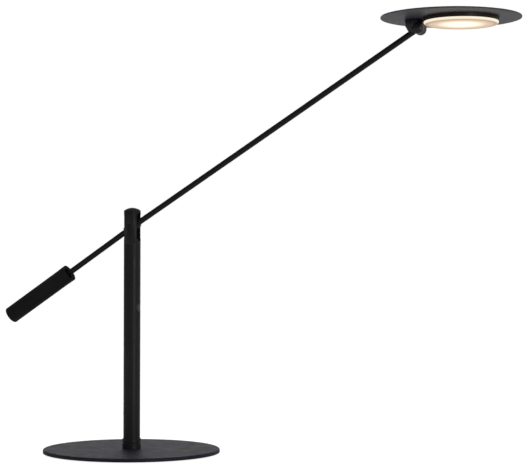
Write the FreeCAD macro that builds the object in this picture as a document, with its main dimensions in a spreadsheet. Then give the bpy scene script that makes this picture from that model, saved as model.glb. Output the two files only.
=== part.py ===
import FreeCAD, Part
import Sketcher
import math
import os

# Counterweight balance desk lamp, in millimetres.
# The origin is on the table under the middle of the post. +Z is up and +X points to the lamp head.

os.makedirs("parts", exist_ok=True)
doc = FreeCAD.newDocument("balance_lamp")
sheet = doc.addObject("Spreadsheet::Sheet", "Sizes")
pieces = []


class Size:
    """A number together with the spreadsheet formula that gives it."""

    def __init__(self, number, formula):
        self.number = number
        self.formula = formula

    def __add__(self, other):
        other = as_size(other)
        return Size(self.number + other.number, "(%s + %s)" % (self.formula, other.formula))

    def __sub__(self, other):
        other = as_size(other)
        return Size(self.number - other.number, "(%s - %s)" % (self.formula, other.formula))

    def __mul__(self, other):
        other = as_size(other)
        return Size(self.number * other.number, "(%s * %s)" % (self.formula, other.formula))

    def __truediv__(self, other):
        other = as_size(other)
        return Size(self.number / other.number, "(%s / %s)" % (self.formula, other.formula))

    def __neg__(self):
        return Size(-self.number, "(0 - %s)" % self.formula)

    def __radd__(self, other):
        return as_size(other) + self

    def __rsub__(self, other):
        return as_size(other) - self

    def __rmul__(self, other):
        return as_size(other) * self


def as_size(value):
    if isinstance(value, Size):
        return value
    return Size(float(value), "(%s)" % repr(float(value)))


def size(name, number):
    """Writes one driving dimension into the spreadsheet and returns it."""
    row = size.row = getattr(size, "row", 0) + 1
    sheet.set("A%d" % row, name)
    sheet.set("B%d" % row, str(number))
    sheet.setAlias("B%d" % row, name)
    return Size(float(number), "Sizes.%s" % name)


def cosine(angle):
    return Size(math.cos(math.radians(angle.number)), "cos(%s)" % angle.formula)


def sine(angle):
    return Size(math.sin(math.radians(angle.number)), "sin(%s)" % angle.formula)


# Clearances, used wherever one piece fits another.
running = size("running_clearance", 0.04)
push = size("push_clearance", 0.05)
slip = size("face_clearance", 0.05)
screw_clear = size("screw_clearance", 0.15)

# Base: steel disc on a thin pad.
base_d = size("base_diameter", 200.0)
base_t = size("base_thickness", 4.0)
base_round = size("base_edge_round", 0.8)
pad_inset = size("pad_inset", 10.0)
pad_t = size("pad_thickness", 1.0)

# Swivel between base and post.
ring_wall = size("ring_wall", 1.05)
ring_h = size("ring_height", 6.3)
ring_bevel = size("ring_bevel", 0.4)
swivel_gap = size("swivel_gap", 0.6)
spigot_d = size("spigot_diameter", 8.5)
bolt_d = size("bolt_diameter", 6.0)
bolt_head_d = size("bolt_head_diameter", 12.0)
ring_screw_d = size("ring_screw_diameter", 2.5)
ring_screw_head_d = size("ring_screw_head_diameter", 4.3)
ring_screw_bite = size("ring_screw_bite", 4.6)
ring_screw_edge = size("ring_screw_edge", 0.85)
plug_h = size("plug_height", 14.0)
spigot_short = size("spigot_shortfall", 0.6)
stop_pin_d = size("stop_pin_diameter", 1.6)
stop_pin_seat = size("stop_pin_seat", 3.0)
stop_pin_stand = size("stop_pin_stand", 2.2)
stop_wall = size("stop_wall", 1.0)
stop_side_gap = size("stop_side_gap", 0.2)
stop_block_w = size("stop_block_width", 1.6)
clamp_d = size("clamp_washer_diameter", 14.0)
clamp_t = size("clamp_washer_thickness", 1.0)
spring_t = size("disc_spring_thickness", 0.7)
spring_rise = size("disc_spring_rise", 0.8)
nut_flats = size("nut_across_flats", 10.0)
nut_h = size("nut_height", 6.0)
bolt_tail = size("bolt_tail", 1.5)

# Post tube with its collar, cable inlet and touch switch.
tube_d = size("tube_diameter", 19.0)
tube_wall = size("tube_wall", 1.5)
collar_h = size("collar_height", 4.6)
inlet_z = size("inlet_height", 45.0)
inlet_bore = size("inlet_bore", 5.2)
grommet_wall = size("grommet_wall", 0.9)
grommet_lip = size("grommet_lip", 0.6)
grommet_lip_t = size("grommet_lip_thickness", 0.45)
grommet_depth = size("grommet_depth", 4.4)
switch_z = size("switch_height", 165.0)
button_d = size("button_diameter", 10.0)
button_gap = size("button_gap", 0.2)
button_sink = size("button_sink", 0.5)
button_flange = size("button_flange", 0.5)
button_flange_t = size("button_flange_thickness", 1.0)
board_w = size("board_width", 13.0)
board_h = size("board_height", 36.0)
board_t = size("board_thickness", 1.2)
carrier_h = size("carrier_height", 40.0)
carrier_t = size("carrier_thickness", 6.0)
lead_d = size("lead_diameter", 2.4)

# Post head: the solid fork on top of the tube.
seam_z = size("seam_height", 236.9)
head_plug_h = size("head_plug_height", 18.0)
shoulder_z = size("shoulder_height", 274.7)
dome_rise = size("dome_rise", 3.3)
pivot_z = size("pivot_height", 256.05)
slot_w = size("slot_width", 11.2)
slot_up = size("slot_above_pivot", 16.7)
slot_down = size("slot_below_pivot", 16.4)
wire_bore = size("wire_bore", 7.0)

# Pivot: pin, bushes and hub.
pin_d = size("pin_diameter", 4.0)
bush_wall = size("bush_wall", 1.0)
bush_flange = size("bush_flange", 1.7)
bush_flange_t = size("bush_flange_thickness", 0.5)
pin_screw_d = size("pin_screw_diameter", 2.0)
pin_screw_bite = size("pin_screw_bite", 3.0)
pin_screw_head_d = size("pin_screw_head_diameter", 6.2)
pin_screw_head_t = size("pin_screw_head_thickness", 0.9)
pin_screw_sink = size("pin_screw_sink", 0.35)
socket_d = size("socket_diameter", 2.0)
socket_h = size("pin_socket_depth", 0.6)
hub_d = size("hub_diameter", 10.0)
hub_reach = size("hub_reach", 9.0)
grub_d = size("hub_grub_diameter", 2.5)
grub_sink = size("hub_grub_sink", 0.3)

# Arm: two rods that meet in the hub, a tube towards the lamp head and a bar towards the weight.
rod_d = size("rod_diameter", 6.4)
rod_wall = size("rod_wall", 1.0)
rod_root = size("rod_root", 2.7)
arm_rise = size("front_rod_rise", 32.5)
tail_rise = size("rear_rod_rise", 33.8)
arm_l = size("arm_length", 393.6)
arm_lead_d = size("arm_lead_diameter", 2.0)
lead_start = size("arm_lead_start", 5.0)
tail_l = size("rear_rod_length", 167.0)

# Counterweight.
weight_d = size("weight_diameter", 19.4)
weight_l = size("weight_length", 87.7)
weight_grip = size("weight_grip", 70.5)
weight_round = size("weight_edge_round", 1.2)
weight_cone_d = size("weight_cone_diameter", 13.0)
weight_cone_h = size("weight_cone_depth", 2.5)
weight_bore_gap = size("weight_bore_gap", 1.5)
weight_grub_d = size("weight_grub_diameter", 4.0)
weight_grub_from_end = size("weight_grub_from_end", 26.0)
weight_grub_sink = size("weight_grub_sink", 0.6)
weight_grub_angle = size("weight_grub_angle", 35.0)
weight_socket_h = size("weight_socket_depth", 2.0)

# Hinge under the lamp head.
eye_d = size("eye_diameter", 13.0)
eye_t = size("eye_thickness", 6.6)
neck_l = size("neck_length", 9.0)
plug_l = size("rod_plug_length", 12.0)
lead_hole_gap = size("lead_hole_gap", 0.2)
outlet_back = size("lead_outlet_back", 7.4)
hinge_d = size("hinge_screw_diameter", 4.0)
hinge_thread_d = size("hinge_thread_diameter", 3.0)
hinge_head_d = size("hinge_head_diameter", 6.4)
hinge_head_t = size("hinge_head_thickness", 1.4)
hinge_head_sink = size("hinge_head_sink", 0.1)
hinge_socket_h = size("hinge_socket_depth", 0.9)
hinge_washer_t = size("hinge_washer_thickness", 0.4)
hinge_washer_d = size("hinge_washer_diameter", 10.0)
hinge_blind = size("hinge_blind_wall", 1.2)
boss_d = size("boss_diameter", 19.0)
barrel_l = size("barrel_length", 19.4)
boss_back = size("boss_back", 5.4)
boss_taper_h = size("boss_taper_height", 7.5)
boss_taper = size("boss_taper", 3.9)
boss_drop = size("boss_drop", 5.0)
ear_bevel = size("ear_bevel", 0.5)
eye_gap = size("eye_gap", 0.6)
clevis_screw_d = size("clevis_screw_diameter", 3.0)
clevis_screw_head_d = size("clevis_screw_head_diameter", 5.2)
clevis_screw_l = size("clevis_screw_length", 7.0)
clevis_screw_at = size("clevis_screw_offset", 6.0)
clevis_wire_d = size("clevis_wire_hole", 5.0)

# Lamp head: flat disc with a round light module under it.
disc_d = size("disc_diameter", 150.0)
disc_t = size("disc_thickness", 1.5)
disc_round = size("disc_edge_round", 0.4)
disc_rise = size("disc_above_hinge", 9.2)
disc_reach = size("disc_reach", 35.2)
module_d = size("module_diameter", 80.0)
module_reach = size("module_reach", 46.2)
housing_h = size("housing_height", 4.1)
housing_wall = size("housing_wall", 1.5)
housing_floor = size("housing_floor", 0.8)
led_board_t = size("led_board_thickness", 1.2)
led_board_gap = size("led_board_gap", 0.5)
chip_w = size("chip_width", 2.8)
chip_t = size("chip_thickness", 0.7)
ring_pitch = size("chip_ring_pitch", 9.5)
sheet_t = size("reflector_thickness", 0.3)
sheet_gap = size("reflector_gap", 0.2)
stud_d = size("stud_diameter", 2.5)
stud_circle = size("stud_circle_radius", 33.5)
nut_small_flats = size("module_nut_flats", 5.0)
nut_small_h = size("module_nut_height", 1.2)
nut_hole_r = size("module_nut_hole_radius", 3.2)
stud_tail = size("stud_tail", 0.3)
diffuser_t = size("diffuser_thickness", 3.1)
diffuser_inset = size("diffuser_inset", 0.5)
diffuser_round = size("diffuser_edge_round", 1.0)
diffuser_hollow = size("diffuser_wall", 1.4)
diffuser_lip_h = size("diffuser_lip_height", 0.9)
diffuser_lip_t = size("diffuser_lip_thickness", 1.2)
head_lead_d = size("head_lead_diameter", 1.8)
head_lead_start = size("head_lead_start", 2.0)

SIDES = (-1, 1)
CHIP_COUNTS = (6, 12, 18)
STUD_ANGLES = (60, 180, 300)
BEYOND = 20.0

# Levels and radii that follow from the sizes above.
plate_top = pad_t + base_t
ring_top = plate_top + ring_h
foot_z = ring_top + swivel_gap
plug_top = foot_z + plug_h
tube_r = tube_d / 2
bore_r = tube_r - tube_wall
ring_r = tube_r + ring_wall
rod_r = rod_d / 2
slot_r = slot_w / 2
eye_r = eye_d / 2
gap_half = eye_t / 2 + hinge_washer_t + slip * 2
hinge_x = arm_l * cosine(arm_rise)
hinge_z = pivot_z + arm_l * sine(arm_rise)
boss_x = hinge_x - boss_back
disc_z = hinge_z + disc_rise
disc_top = disc_z + disc_t
disc_x = hinge_x + disc_reach
module_x = hinge_x + module_reach
module_r = module_d / 2
housing_z = disc_z - housing_h
diffuser_z = housing_z - diffuser_t
floor_z = disc_z - housing_floor
led_board_z = floor_z - led_board_t
housing_r = module_r - housing_wall

TURNS = {
    "z": FreeCAD.Rotation(),
    "-z": FreeCAD.Rotation(FreeCAD.Vector(1, 0, 0), 180),
    "x": FreeCAD.Rotation(FreeCAD.Vector(0, 1, 0), 90),
    "-x": FreeCAD.Rotation(FreeCAD.Vector(0, 1, 0), -90),
    "y": FreeCAD.Rotation(FreeCAD.Vector(1, 0, 0), -90),
    "-y": FreeCAD.Rotation(FreeCAD.Vector(1, 0, 0), 90),
}


def bind(thing, **formulas):
    for name, value in formulas.items():
        thing.setExpression(name.replace("__", "."), as_size(value).formula)
    return thing


def put(thing, x, y, z, turn):
    thing.Placement = FreeCAD.Placement(FreeCAD.Vector(), turn)
    return bind(thing, Placement__Base__x=x, Placement__Base__y=y, Placement__Base__z=z)


def rod(radius, height, x=0, y=0, z=0, along="z"):
    """A cylinder that starts at a point and runs along one axis."""
    thing = doc.addObject("Part::Cylinder", "rod")
    bind(thing, Radius=radius, Height=height)
    return put(thing, x, y, z, TURNS[along])


def cone(start_r, end_r, height, x=0, y=0, z=0, along="z"):
    thing = doc.addObject("Part::Cone", "cone")
    bind(thing, Radius1=start_r, Radius2=end_r, Height=height)
    return put(thing, x, y, z, TURNS[along])


def block(length, width, height, x=0, y=0, z=0):
    """A box centred on x and y that stands on z."""
    thing = doc.addObject("Part::Box", "block")
    bind(thing, Length=length, Width=width, Height=height)
    length = as_size(length)
    width = as_size(width)
    return put(thing, x - length / 2, y - width / 2, z, TURNS["z"])


def hexagon(flats, height, x=0, y=0, z=0):
    thing = doc.addObject("Part::Prism", "hexagon")
    thing.Polygon = 6
    bind(thing, Circumradius=as_size(flats) / math.sqrt(3), Height=height)
    return put(thing, x, y, z, TURNS["z"])


def fuse(*parts):
    if len(parts) == 1:
        return parts[0]
    thing = doc.addObject("Part::MultiFuse", "fuse")
    thing.Shapes = list(parts)
    return thing


def group(*parts):
    """Separate solids of one kind that are kept together as one piece."""
    thing = doc.addObject("Part::Compound", "group")
    thing.Links = list(parts)
    return thing


def cut(base, *tools):
    thing = doc.addObject("Part::Cut", "cut")
    thing.Base = base
    thing.Tool = fuse(*tools)
    return thing


def common(first, second):
    thing = doc.addObject("Part::Common", "common")
    thing.Base = first
    thing.Tool = second
    return thing


def tube(outer_r, inner_r, height, x=0, y=0, z=0, along="z"):
    return cut(rod(outer_r, height, x, y, z, along), rod(inner_r, height, x, y, z, along))


def turned(name, *corners):
    """A body turned about Z, from the corners (radius, height) of its half section."""
    body = doc.addObject("PartDesign::Body", name + "_body")
    sketch = body.newObject("Sketcher::SketchObject", name + "_section")
    plane = [feature for feature in body.Origin.OriginFeatures if feature.Role == "XZ_Plane"][0]
    sketch.AttachmentSupport = [(plane, "")]
    sketch.MapMode = "FlatFace"
    corners = [(as_size(radius), as_size(height)) for radius, height in corners]
    points = [FreeCAD.Vector(radius.number, height.number, 0) for radius, height in corners]
    for start, end in zip(points, points[1:] + points[:1]):
        sketch.addGeometry(Part.LineSegment(start, end))
    count = len(points)
    for index, (radius, height) in enumerate(corners):
        before = index - 1 if index else count - 1
        sketch.addConstraint(Sketcher.Constraint("Coincident", before, 2, index, 1))
        if radius.number == 0:
            sketch.addConstraint(Sketcher.Constraint("PointOnObject", index, 1, -2))
        else:
            place = sketch.addConstraint(Sketcher.Constraint("DistanceX", -1, 1, index, 1, radius.number))
            sketch.setExpression("Constraints[%d]" % place, radius.formula)
        if height.number == 0:
            sketch.addConstraint(Sketcher.Constraint("PointOnObject", index, 1, -1))
        else:
            place = sketch.addConstraint(Sketcher.Constraint("DistanceY", -1, 1, index, 1, height.number))
            sketch.setExpression("Constraints[%d]" % place, height.formula)
    turning = body.newObject("PartDesign::Revolution", name + "_turning")
    turning.Profile = sketch
    turning.ReferenceAxis = (sketch, ["V_Axis"])
    turning.Angle = 360
    sketch.Visibility = False
    return body


def rounded(body, radius, *edges):
    """Rounds the circular edges of a turned body that lie at the given (radius, height)."""
    doc.recompute()
    tip = body.Tip
    names = []
    for index, edge in enumerate(tip.Shape.Edges, 1):
        if not isinstance(edge.Curve, Part.Circle):
            continue
        for edge_r, height in edges:
            near_r = abs(edge.Curve.Radius - edge_r.number) < 0.001
            if near_r and abs(edge.Curve.Center.z - height.number) < 0.001:
                names.append("Edge%d" % index)
    rounding = body.newObject("PartDesign::Fillet", body.Name + "_round")
    rounding.Base = (tip, names)
    bind(rounding, Radius=radius)
    return body


def piece(name, thing):
    thing.Label = name
    pieces.append(thing)
    return thing


def spun(angle, *things):
    """The things turned about Z by an angle."""
    thing = group(*things)
    thing.Placement = FreeCAD.Placement(FreeCAD.Vector(), FreeCAD.Rotation(FreeCAD.Vector(0, 0, 1), 90))
    return bind(thing, Placement__Rotation__Angle=angle)


def on_front_rod(*things):
    """Things made along +Z, laid from the pivot along the front rod; their +X becomes its underside."""
    thing = group(*things)
    thing.Placement = FreeCAD.Placement(FreeCAD.Vector(), FreeCAD.Rotation(FreeCAD.Vector(0, 1, 0), 90))
    return bind(thing, Placement__Base__z=pivot_z, Placement__Rotation__Angle=90 - arm_rise)


def on_rear_rod(*things):
    """Things made along +Z, laid from the pivot down the rear rod; their -X becomes its underside."""
    thing = group(*things)
    thing.Placement = FreeCAD.Placement(FreeCAD.Vector(), FreeCAD.Rotation(FreeCAD.Vector(0, -1, 0), 90))
    return bind(thing, Placement__Base__z=pivot_z, Placement__Rotation__Angle=90 + tail_rise)


def at_module(thing):
    return bind(thing, Placement__Base__x=module_x)


def countersunk(head_r, shank_r, length, x=0, y=0, z=0, along="z"):
    """A countersunk screw, its flat head at the point and its shank along the axis."""
    return fuse(cone(head_r, shank_r, head_r - shank_r, x, y, z, along), rod(shank_r, length, x, y, z, along))


# Base plate: steel disc with a countersunk middle hole and two small ones for the ring screws.
bolt_r = bolt_d / 2
bolt_hole_r = bolt_r + screw_clear
bolt_head_r = bolt_head_d / 2
bolt_sink = bolt_head_r - bolt_r
ring_screw_r = ring_screw_d / 2
ring_screw_head_r = ring_screw_head_d / 2
ring_screw_at = ring_r - ring_screw_edge - ring_screw_r
plate = turned(
    "base_plate",
    (bolt_head_r + screw_clear, pad_t),
    (base_d / 2, pad_t),
    (base_d / 2, plate_top),
    (bolt_hole_r, plate_top),
    (bolt_hole_r, pad_t + bolt_sink),
)
plate = rounded(plate, base_round, (base_d / 2, plate_top))
ring_screw_holes = []
for side in SIDES:
    ring_screw_holes.append(countersunk(
        ring_screw_head_r + screw_clear, ring_screw_r + screw_clear, base_t, y=side * ring_screw_at, z=pad_t))
piece("base_plate", cut(plate, *ring_screw_holes))

# Pad under the base plate.
piece("foot_pad", rod(base_d / 2 - pad_inset, pad_t))

# Swivel ring: fixed on the plate, with the spigot that the post turns on.
spigot_r = spigot_d / 2
spigot_top = plug_top - spigot_short
ring = turned(
    "swivel_ring",
    (bolt_hole_r, plate_top),
    (ring_r, plate_top),
    (ring_r, ring_top - ring_bevel),
    (ring_r - ring_bevel, ring_top),
    (spigot_r, ring_top),
    (spigot_r, spigot_top),
    (bolt_hole_r, spigot_top),
)
stop_r = stop_pin_d / 2
groove_in = spigot_r + running + stop_wall
groove_out = groove_in + stop_side_gap * 2 + stop_pin_d
stop_at = groove_in + stop_side_gap + stop_r
ring_cuts = [rod(stop_r + push, stop_pin_seat, x=stop_at, z=ring_top - stop_pin_seat)]
for side in SIDES:
    ring_cuts.append(rod(ring_screw_r + push, ring_screw_bite + push, y=side * ring_screw_at, z=plate_top))
piece("swivel_ring", cut(ring, *ring_cuts))

# Screws from below: one bolt that clamps the swivel, two that hold the ring to the plate.
clamp_z = plug_top + slip
spring_z = clamp_z + clamp_t
nut_z = spring_z + spring_t + spring_rise
bolt_end = nut_z + nut_h + bolt_tail
piece("swivel_bolt", turned(
    "swivel_bolt",
    (0, pad_t + slip),
    (bolt_head_r, pad_t + slip),
    (bolt_r, pad_t + slip + bolt_sink),
    (bolt_r, bolt_end),
    (0, bolt_end),
))
ring_screws = []
for side in SIDES:
    ring_screws.append(countersunk(
        ring_screw_head_r, ring_screw_r, base_t + ring_screw_bite - slip,
        y=side * ring_screw_at, z=pad_t + slip))
piece("ring_screws", group(*ring_screws))

# Stop pin in the ring, which a web in the foot plug meets after most of a turn.
piece("stop_pin", rod(stop_r, stop_pin_seat + stop_pin_stand, x=stop_at, z=ring_top - stop_pin_seat))

# Washers and nut that clamp the foot plug down on the swivel ring.
clamp_r = clamp_d / 2
piece("clamp_washer", tube(clamp_r, bolt_hole_r, clamp_t, z=clamp_z))
piece("disc_spring", turned(
    "disc_spring",
    (clamp_r, spring_z),
    (clamp_r, spring_z + spring_t),
    (bolt_hole_r, spring_z + spring_t + spring_rise),
    (bolt_hole_r, spring_z + spring_rise),
))
piece("lock_nut", cut(hexagon(nut_flats, nut_h, z=nut_z), rod(bolt_r + push, nut_h, z=nut_z)))

# Thin washer that the post turns on, in the groove between ring and collar.
washer_in = bore_r + slip
piece("swivel_washer", tube(ring_r - ring_bevel * 2, washer_in, swivel_gap - slip * 2, z=ring_top + slip))

# Foot plug in the tube, bored for the spigot and grooved underneath for the stop pin.
plug = turned(
    "foot_plug",
    (spigot_r + running, foot_z),
    (bore_r - push, foot_z),
    (bore_r - push, plug_top),
    (spigot_r + running, plug_top),
)
groove_h = stop_pin_stand - swivel_gap + stop_side_gap * 2
groove = cut(
    tube(groove_out, groove_in, groove_h, z=foot_z),
    block(groove_out, stop_block_w, groove_h, x=0 - groove_out / 2, z=foot_z),
)
piece("foot_plug", cut(plug, groove))

# Collar around the foot of the tube.
collar_top = foot_z + collar_h
piece("post_collar", turned(
    "post_collar",
    (tube_r + push, foot_z),
    (ring_r - ring_bevel, foot_z),
    (ring_r, foot_z + ring_bevel),
    (ring_r, collar_top - ring_bevel),
    (ring_r - ring_bevel, collar_top),
    (tube_r + push, collar_top),
))

# Post tube, with a hole for the touch button in front and one for the cable grommet at the back.
button_r = button_d / 2
neck_r = inlet_bore / 2 + grommet_wall
post = turned(
    "post_tube",
    (bore_r, foot_z),
    (tube_r, foot_z),
    (tube_r, seam_z),
    (bore_r, seam_z),
)
button_hole = rod(button_r + button_gap, tube_r + BEYOND, z=switch_z, along="x")
inlet_hole = rod(neck_r + push, tube_r + BEYOND, z=inlet_z, along="-x")
piece("post_tube", cut(post, button_hole, inlet_hole))

# Rubber grommet in the cable inlet: its two lips follow the round wall of the tube.
lip_r = neck_r + grommet_lip
lip_blank = rod(lip_r, tube_r + BEYOND, z=inlet_z, along="-x")
neck_blank = rod(neck_r, tube_r + BEYOND, z=inlet_z, along="-x")
grommet_h = lip_r * 4
grommet_z = inlet_z - grommet_h / 2
lip_top_r = tube_r + grommet_lip_t
outer_lip = common(lip_blank, tube(lip_top_r, tube_r + slip, grommet_h, z=grommet_z))
inner_lip = common(lip_blank, tube(bore_r - slip, bore_r - slip - grommet_wall, grommet_h, z=grommet_z))
neck = cut(
    common(neck_blank, rod(lip_top_r, grommet_h, z=grommet_z)),
    block(BEYOND * 2, BEYOND, grommet_h, x=BEYOND - lip_top_r + grommet_depth, z=grommet_z),
)
inlet_cut = rod(inlet_bore / 2, tube_r + BEYOND, z=inlet_z, along="-x")
piece("inlet_grommet", cut(fuse(outer_lip, inner_lip, neck), inlet_cut))

# Touch switch: carrier in the tube, sensor board on it, button in front of the board.
carrier_front = carrier_t / 2
board_front = carrier_front + slip + board_t
carrier_z = switch_z - carrier_h / 2
carrier_top = switch_z + carrier_h / 2
piece("switch_carrier", common(
    rod(bore_r - push, carrier_h, z=carrier_z),
    block(carrier_t, tube_d, carrier_h, z=carrier_z),
))
piece("sensor_board", block(
    board_t, board_w, board_h, x=carrier_front + slip + board_t / 2, z=switch_z - board_h / 2))
button_back = board_front + slip
button = common(
    rod(button_r, tube_r, x=button_back, z=switch_z, along="x"),
    rod(tube_r - button_sink, button_d * 2, z=switch_z - button_d),
)
flange = rod(button_r + button_flange, button_flange_t, x=button_back, z=switch_z, along="x")
piece("touch_button", fuse(button, flange))

# Lead that stands on the carrier and reaches up into the wire bore of the post head.
slot_top = pivot_z + slot_up
slot_bottom = pivot_z - slot_down
piece("post_lead", rod(lead_d / 2, slot_bottom - carrier_top, z=carrier_top))

# Post head: solid fork with a domed top, plugged into the tube and slotted for the arm.
dome_r = (tube_r * tube_r + dome_rise * dome_rise) / (dome_rise * 2)
ball = doc.addObject("Part::Sphere", "dome")
bind(ball, Radius=dome_r, Placement__Base__z=shoulder_z + dome_rise - dome_r)
head_blank = fuse(
    common(rod(tube_r, shoulder_z + dome_rise - seam_z, z=seam_z), ball),
    rod(tube_r, shoulder_z - seam_z, z=seam_z),
    rod(bore_r - push, head_plug_h, z=seam_z - head_plug_h),
)
bush_r = pin_d / 2 + bush_wall
pin_half = tube_r - pin_screw_sink - pin_screw_head_t
head_cut_l = tube_d * 2
head_cuts = [
    block(head_cut_l, slot_w, slot_up + slot_down - slot_w, z=slot_bottom + slot_r),
    rod(slot_r, head_cut_l, x=0 - tube_d, z=slot_bottom + slot_r, along="x"),
    rod(slot_r, head_cut_l, x=0 - tube_d, z=slot_top - slot_r, along="x"),
    rod(wire_bore / 2, slot_bottom + slot_r - seam_z + head_plug_h, z=seam_z - head_plug_h),
    rod(bush_r + push, head_cut_l, y=0 - tube_d, z=pivot_z, along="y"),
]
for turn, side in (("-y", -1), ("y", 1)):
    head_cuts.append(rod(
        pin_screw_head_d / 2 + screw_clear, tube_r, y=side * (pin_half - slip), z=pivot_z, along=turn))
piece("post_head", cut(head_blank, *head_cuts))

# Bushes in the two cheeks, whose flanges rub on the hub.
bushes = []
flange_back = slot_r - bush_flange_t
for turn, side in (("-y", -1), ("y", 1)):
    sleeve = fuse(
        rod(bush_r, pin_half - slip - flange_back, y=side * flange_back, z=pivot_z, along=turn),
        rod(bush_r + bush_flange, bush_flange_t, y=side * flange_back, z=pivot_z, along=turn),
    )
    bushes.append(cut(sleeve, rod(pin_d / 2 + running, tube_d, z=pivot_z, along=turn)))
piece("pivot_bushes", group(*bushes))

# Pivot hub: a barrel across the slot with a socket for each rod.
hub_r = hub_d / 2
hub_half = flange_back - slip
hub_arms = fuse(
    rod(hub_r, hub_half * 2, y=0 - hub_half, z=pivot_z, along="y"),
    on_front_rod(rod(hub_r, hub_reach)),
    on_rear_rod(rod(hub_r, hub_reach)),
)
grub_r = grub_d / 2
pin_r = pin_d / 2
arm_lead_r = arm_lead_d / 2
lead_hole_r = arm_lead_r + lead_hole_gap
lead_hole = rod(lead_hole_r, hub_r, z=lead_start + arm_lead_r, along="x")
hub_cuts = [
    rod(pin_r + push, hub_half * 2, y=0 - hub_half, z=pivot_z, along="y"),
    on_front_rod(rod(rod_r + push, hub_reach, z=rod_root), lead_hole, rod(grub_r + push, hub_r, along="-x")),
    on_rear_rod(rod(rod_r + push, hub_reach, z=rod_root)),
]
piece("pivot_hub", cut(hub_arms, *hub_cuts))

# Grub screw that holds the pin in the hub, set into the upper side.
grub_from = pin_r + slip
piece("hub_grub", on_front_rod(rod(grub_r, hub_r - grub_sink - grub_from, x=0 - grub_from, along="-x")))

# Pivot pin with a screw in each end, whose heads sit in the cheeks of the post head.
pin_screw_r = pin_screw_d / 2
pin_blank = rod(pin_r, pin_half * 2, y=0 - pin_half, z=pivot_z, along="y")
pin_holes = []
pin_screws = []
for turn, side in (("-y", -1), ("y", 1)):
    hole_from = pin_half - pin_screw_bite
    head_from = pin_half + slip
    pin_holes.append(rod(pin_screw_r + push, pin_screw_bite, y=side * hole_from, z=pivot_z, along=turn))
    pin_screws.append(cut(
        fuse(
            rod(pin_screw_r, pin_screw_bite, y=side * (hole_from + slip), z=pivot_z, along=turn),
            rod(pin_screw_head_d / 2, pin_screw_head_t, y=side * head_from, z=pivot_z, along=turn),
        ),
        rod(socket_d / 2, socket_h,
            y=side * (head_from + pin_screw_head_t - socket_h), z=pivot_z, along=turn),
    ))
piece("pivot_pin", cut(pin_blank, *pin_holes))
piece("pivot_screws", group(*pin_screws))

# Front rod: a tube with a hole below for the lead.
rod_bore_r = rod_r - rod_wall
rod_end_z = arm_l - neck_l
front_lead_hole = rod(lead_hole_r, hub_r, z=lead_start + arm_lead_r, along="x")
piece("front_rod", on_front_rod(cut(
    tube(rod_r, rod_bore_r, rod_end_z - rod_root, z=rod_root), front_lead_hole)))

# Rear rod: a solid bar that carries the counterweight.
piece("rear_rod", on_rear_rod(rod(rod_r, tail_l - rod_root, z=rod_root)))

# Counterweight: round bar with a blind bore for the rod and a dished end towards the post.
weight_r = weight_d / 2
weight_start = tail_l - weight_grip
weight_end = weight_start + weight_l
weight_bore_r = rod_r + push
weight_bore_end = tail_l + weight_bore_gap
weight = turned(
    "counterweight",
    (0, weight_bore_end),
    (weight_bore_r, weight_bore_end),
    (weight_bore_r, weight_start + weight_cone_h),
    (weight_cone_d / 2, weight_start),
    (weight_r, weight_start),
    (weight_r, weight_end),
    (0, weight_end),
)
weight = rounded(weight, weight_round, (weight_r, weight_start), (weight_r, weight_end))
weight_grub_r = weight_grub_d / 2
weight_grub_z = weight_end - weight_grub_from_end
weight_hole = rod(weight_grub_r + push, weight_r, z=weight_grub_z, along="-y")
piece("counterweight", on_rear_rod(cut(weight, spun(0 - weight_grub_angle, weight_hole))))
weight_grub_in = rod_r + slip
weight_grub_l = weight_r - weight_grub_sink - weight_grub_in
weight_grub = cut(
    rod(weight_grub_r, weight_grub_l, y=0 - weight_grub_in, z=weight_grub_z, along="-y"),
    rod(socket_d / 2, weight_socket_h,
        y=weight_socket_h - weight_r + weight_grub_sink, z=weight_grub_z, along="-y"),
)
piece("weight_screw", on_rear_rod(spun(0 - weight_grub_angle, weight_grub)))

# Rod end: plug in the tube, neck and eye for the hinge of the lamp head.
eye_half = eye_t / 2
hinge_r = hinge_d / 2
plug_from = rod_end_z - plug_l
outlet_z = arm_l - outlet_back
piece("rod_end", on_front_rod(cut(
    fuse(
        rod(eye_r, eye_t, y=0 - eye_half, z=arm_l, along="y"),
        rod(rod_r, neck_l, z=rod_end_z),
        rod(rod_bore_r - push, plug_l, z=plug_from),
    ),
    rod(hinge_r + running, eye_t, y=0 - eye_half, z=arm_l, along="y"),
    rod(lead_hole_r, outlet_z - plug_from + lead_hole_r, z=plug_from),
    rod(lead_hole_r, rod_d, z=outlet_z, along="-x"),
)))

# Lead through the front rod.
piece("arm_lead", on_front_rod(rod(arm_lead_r, outlet_z - lead_start, z=lead_start)))

# Clevis under the lamp head: an upright boss and a cross barrel, slotted for the rod end.
boss_r = boss_d / 2
boss_foot = hinge_z - boss_drop
boss_shoulder = boss_foot + boss_taper_h
slot_roof = hinge_z + eye_r + eye_gap
barrel_half = barrel_l / 2
clevis_blank = fuse(
    cone(boss_r - boss_taper, boss_r, boss_taper_h, x=boss_x, z=boss_foot),
    rod(boss_r, disc_z - slip - boss_shoulder, x=boss_x, z=boss_shoulder),
    rod(eye_r, barrel_l - ear_bevel, x=hinge_x, y=ear_bevel - barrel_half, z=hinge_z, along="y"),
    cone(eye_r, eye_r - ear_bevel, ear_bevel, x=hinge_x, y=ear_bevel - barrel_half, z=hinge_z, along="-y"),
)
hinge_head_from = barrel_half - hinge_head_t - hinge_head_sink
hinge_thread_end = barrel_half - hinge_blind
hinge_thread_r = hinge_thread_d / 2
hinge_head_r = hinge_head_d / 2
clevis_screw_r = clevis_screw_d / 2
clevis_screw_end = disc_top - clevis_screw_l - slip
head_lead_r = head_lead_d / 2
head_lead_z = floor_z - led_board_t / 2
head_lead_hole_r = head_lead_r + lead_hole_gap
slot_h = slot_roof - boss_foot + eye_r
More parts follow.
